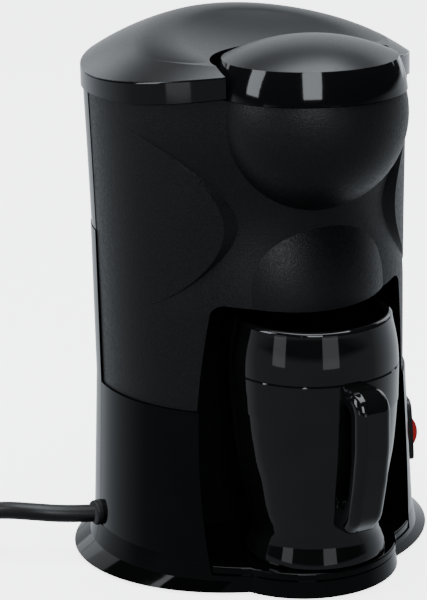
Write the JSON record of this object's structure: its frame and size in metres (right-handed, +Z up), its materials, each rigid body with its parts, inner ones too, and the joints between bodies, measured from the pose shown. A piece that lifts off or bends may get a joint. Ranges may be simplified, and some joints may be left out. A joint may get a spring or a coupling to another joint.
{
  "type": "drip coffee maker",
  "caption": "Small black one-mug drip coffee maker with hinged water-tank lid, ball-shaped filter holder with its own hinged lid, mug bay, mug, rocker switch and corded vehicle plug",
  "frame": {"origin": "centre of the footprint of machine and mug, on the table", "axes": "+Z up, -Y front where the mug stands, +X the side with the switch"},
  "size_m": [0.3296, 0.2297, 0.2427],
  "materials": {
    "matt_housing": "fine moulded texture, matt black",
    "gloss_housing": "polished black",
    "mug_gloss": "deep polished black",
    "black_inner": "plain black moulding",
    "tank_clear": "translucent natural plastic",
    "steel_small": "plain bright steel",
    "heater_metal": "as cast",
    "terminal_brass": "plain",
    "hose_rubber": "milky silicone",
    "fuse_ceramic": "ceramic body",
    "rubber": "soft black rubber",
    "switch_red": "red, lightly polished",
    "lead_white": "heat-proof insulation",
    "cord_black": "smooth black flexible sheath"
  },
  "bodies": {
    "machine": {"base_plate": "black_inner", "base_screw_1": "steel_small", "base_screw_2": "steel_small", "base_screw_3": "steel_small", "base_screw_4": "steel_small", "bay_liner": "black_inner", "brew_lid_pin": "steel_small", "check_valve": "hose_rubber", "cold_hose": "hose_rubber", "cord_coil": "cord_black", "cord_grommet": "rubber", "cord_tail": "cord_black", "drip_spout": "black_inner", "drip_tray": "gloss_housing", "filter_basket": "black_inner", "front_housing": "matt_housing", "heater_block": "heater_metal", "heater_bracket": "steel_small", "heating_element": "heater_metal", "hose_clamp_1": "steel_small", "hose_clamp_2": "steel_small", "inner_deck": "black_inner", "lead_heater": "lead_white", "lead_live": "lead_white", "lower_housing": "gloss_housing", "mesh_filter": "steel_small", "plug_body": "cord_black", "plug_contact_1": "steel_small", "plug_contact_2": "steel_small", "plug_relief": "cord_black", "plug_tip": "steel_small", "power_cord": "cord_black", "rear_cover_lower": "gloss_housing", "rear_cover_upper": "gloss_housing", "riser_pipe": "heater_metal", "rubber_foot_1": "rubber", "rubber_foot_2": "rubber", "rubber_foot_3": "rubber", "rubber_foot_4": "rubber", "switch_body": "black_inner", "switch_terminal_1": "terminal_brass", "switch_terminal_2": "terminal_brass", "tank_lid_pin": "steel_small", "thermal_fuse": "fuse_ceramic", "thermostat": "steel_small", "water_tank": "tank_clear"},
    "tank_lid": {"tank_lid": "gloss_housing"},
    "brew_lid": {"brew_lid": "gloss_housing", "spray_plate": "black_inner"},
    "switch_rocker": {"switch_rocker": "switch_red"},
    "mug": {"mug": "mug_gloss"}
  },
  "joints": [
    {"name": "tank_lid_hinge", "type": "hinge", "parent": "machine", "child": "tank_lid", "pos_m": [0, 0.0863, 0.214], "axis": [-1, 0, 0], "range_deg": [0, 95]},
    {"name": "brew_lid_hinge", "type": "hinge", "parent": "machine", "child": "brew_lid", "pos_m": [0, -0.0033, 0.229], "axis": [-1, 0, 0], "range_deg": [0, 80]},
    {"name": "switch_rocker_pivot", "type": "hinge", "parent": "machine", "child": "switch_rocker", "pos_m": [0.06709, -0.00912, 0.045], "axis": [0.342, 0.9397, 0], "range_deg": [0, 12]},
    {"name": "mug_slide", "type": "slide", "parent": "machine", "child": "mug", "axis": [0, -1, 0], "range_m": [0, 0.09]}
  ]
}
